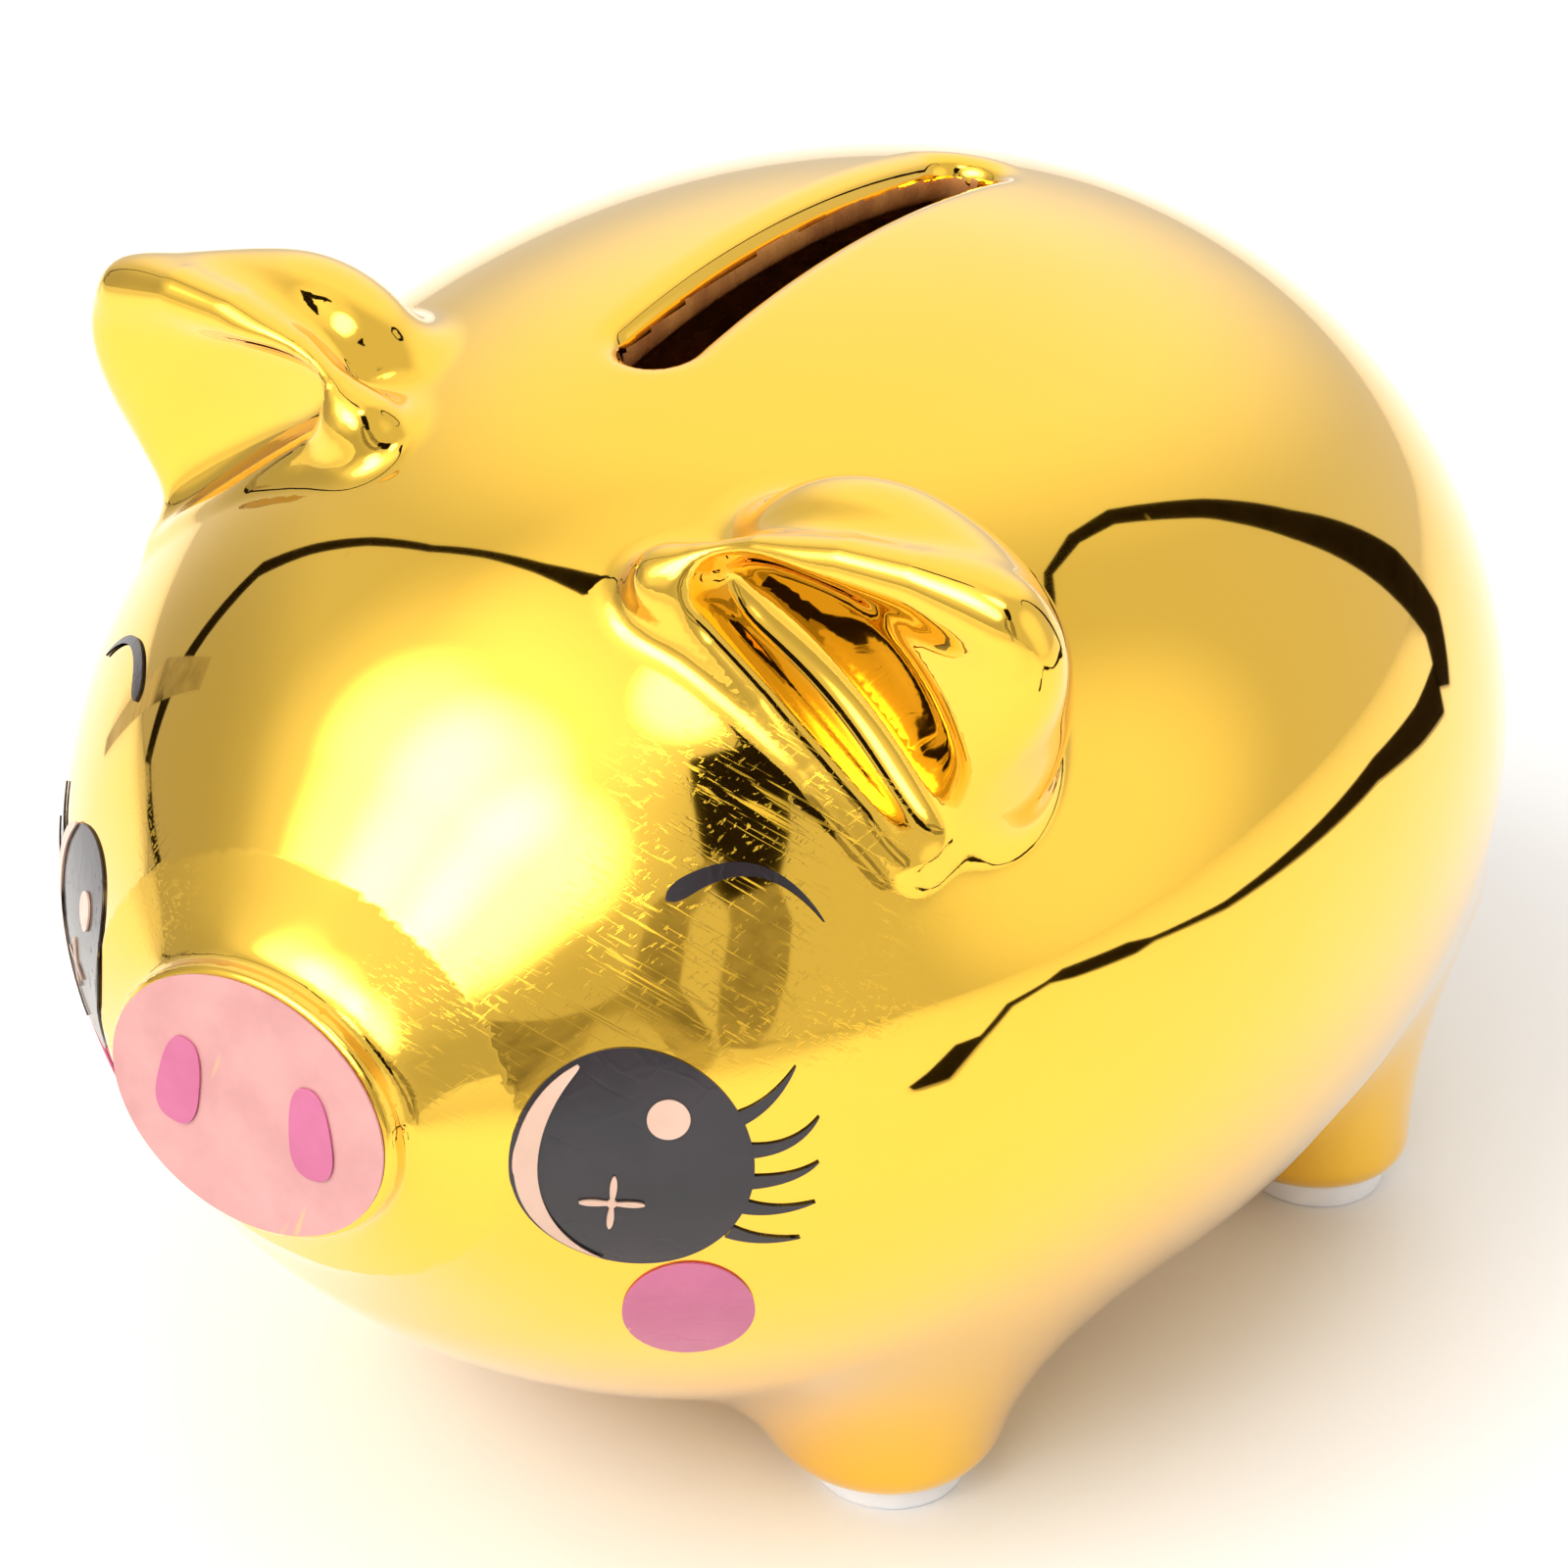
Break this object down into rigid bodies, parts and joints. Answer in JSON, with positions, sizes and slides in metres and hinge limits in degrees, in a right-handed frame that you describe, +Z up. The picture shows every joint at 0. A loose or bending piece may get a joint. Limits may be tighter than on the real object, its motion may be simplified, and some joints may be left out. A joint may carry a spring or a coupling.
{
  "type": "piggy bank",
  "caption": "Round gold-plated ceramic piggy bank with a coin slot along the back, a rubber stopper in the belly, foot pads and printed face transfers.",
  "frame": {"origin": "middle of the bank's footprint on the surface it stands on", "axes": "the pig faces -Y, its left side is +X, +Z is up"},
  "size_m": [0.091, 0.1222, 0.0843],
  "materials": {
    "gold_ceramic": "mirror gold plating over glaze",
    "stopper_rubber": "soft moulded, translucent white",
    "foot_pad": "soft matt anti-slip pad",
    "pink_film": "printed transfer, lightly wrinkled",
    "rose_film": "printed transfer",
    "black_film": "printed transfer, lightly wrinkled",
    "cream_film": "printed transfer"
  },
  "bodies": {
    "bank": {"shell": "gold_ceramic", "front_left_pad": "foot_pad", "front_right_pad": "foot_pad", "rear_left_pad": "foot_pad", "rear_right_pad": "foot_pad", "snout_disc": "pink_film", "left_nostril": "rose_film", "right_nostril": "rose_film", "left_eye": "black_film", "right_eye": "black_film", "left_eye_highlights": "cream_film", "right_eye_highlights": "cream_film", "left_lashes": "black_film", "right_lashes": "black_film", "left_brow": "black_film", "right_brow": "black_film", "left_blush": "rose_film", "right_blush": "rose_film"},
    "stopper": {"stopper": "stopper_rubber"}
  },
  "joints": [
    {"name": "stopper_slide", "type": "slide", "parent": "bank", "child": "stopper", "axis": [0, 0, -1], "range_m": [0, 0.02]}
  ]
}
